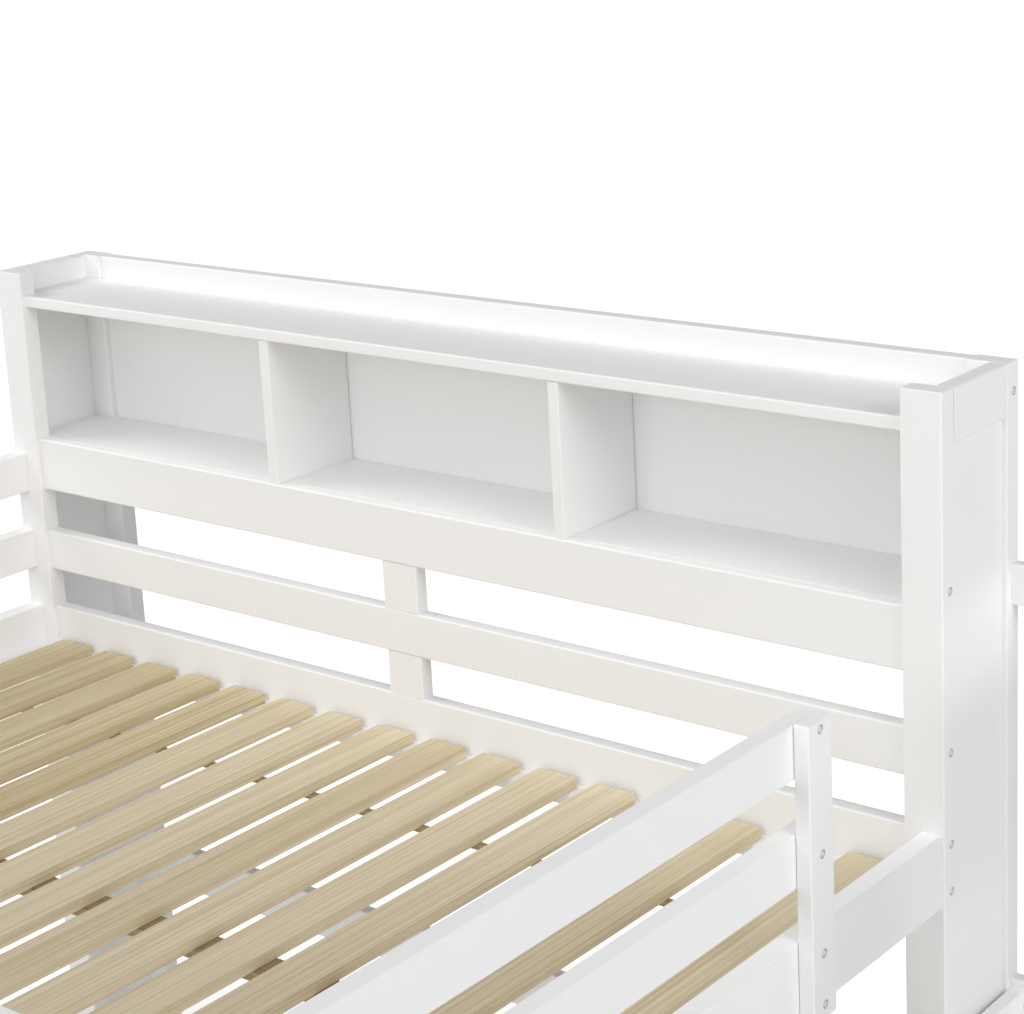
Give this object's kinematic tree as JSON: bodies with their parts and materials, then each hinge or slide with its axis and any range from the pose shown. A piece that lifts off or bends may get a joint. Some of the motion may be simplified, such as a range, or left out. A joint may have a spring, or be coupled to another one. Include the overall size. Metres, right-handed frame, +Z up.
{
  "type": "loft bed",
  "caption": "White timber loft bed with bare pine slats, a bookcase along its wall side, guard boards, and a stair with a landing at its right-hand end.",
  "frame": {"origin": "on the floor under the middle of the whole bed's box, stair included", "axes": "+X along the bed towards the stair end, +Y towards the wall and the bookcase, +Z up"},
  "size_m": [2.4994, 1.661, 1.884],
  "materials": {
    "white_paint": "satin white paint on solid wood and board",
    "bare_pine": "planed bare pine, matt, with fine lengthwise grain"
  },
  "bodies": {
    "root": {"left_front_post": "white_paint", "right_front_post": "white_paint", "left_back_post": "white_paint", "right_back_post": "white_paint", "left_end_panel": "white_paint", "right_end_panel": "white_paint", "left_end_top_rail": "white_paint", "right_end_top_rail": "white_paint", "top_shelf": "white_paint", "bottom_shelf": "white_paint", "shelf_apron": "white_paint", "bookcase_back_panel": "white_paint", "crest_rail": "white_paint", "left_divider": "white_paint", "right_divider": "white_paint", "back_guard_rail": "white_paint", "back_guard_stile": "white_paint", "back_bed_rail": "white_paint", "back_stretcher": "white_paint", "left_bed_rail": "white_paint", "right_bed_rail": "white_paint", "front_bed_rail": "white_paint", "front_left_post": "white_paint", "front_right_post": "white_paint", "left_guard_upper": "white_paint", "left_guard_lower": "white_paint", "right_guard_upper": "white_paint", "right_guard_lower": "white_paint", "right_guard_post": "white_paint", "front_guard_upper": "white_paint", "front_guard_lower": "white_paint", "slat_01": "bare_pine", "slat_02": "bare_pine", "slat_03": "bare_pine", "slat_04": "bare_pine", "slat_05": "bare_pine", "slat_06": "bare_pine", "slat_07": "bare_pine", "slat_08": "bare_pine", "slat_09": "bare_pine", "slat_10": "bare_pine", "slat_11": "bare_pine", "slat_12": "bare_pine", "slat_13": "bare_pine", "slat_14": "bare_pine", "slat_15": "bare_pine", "slat_16": "bare_pine", "centre_beam": "bare_pine", "back_slat_tie": "bare_pine", "front_slat_tie": "bare_pine", "landing_guard_upper": "white_paint", "landing_guard_lower": "white_paint", "landing_outer_guard": "white_paint", "stair_back_post": "white_paint", "stair_front_post": "white_paint", "stair_inner_side": "white_paint", "stair_outer_side": "white_paint", "stair_landing": "white_paint", "stair_tread_1": "white_paint", "stair_tread_2": "white_paint"}
  },
  "joints": []
}
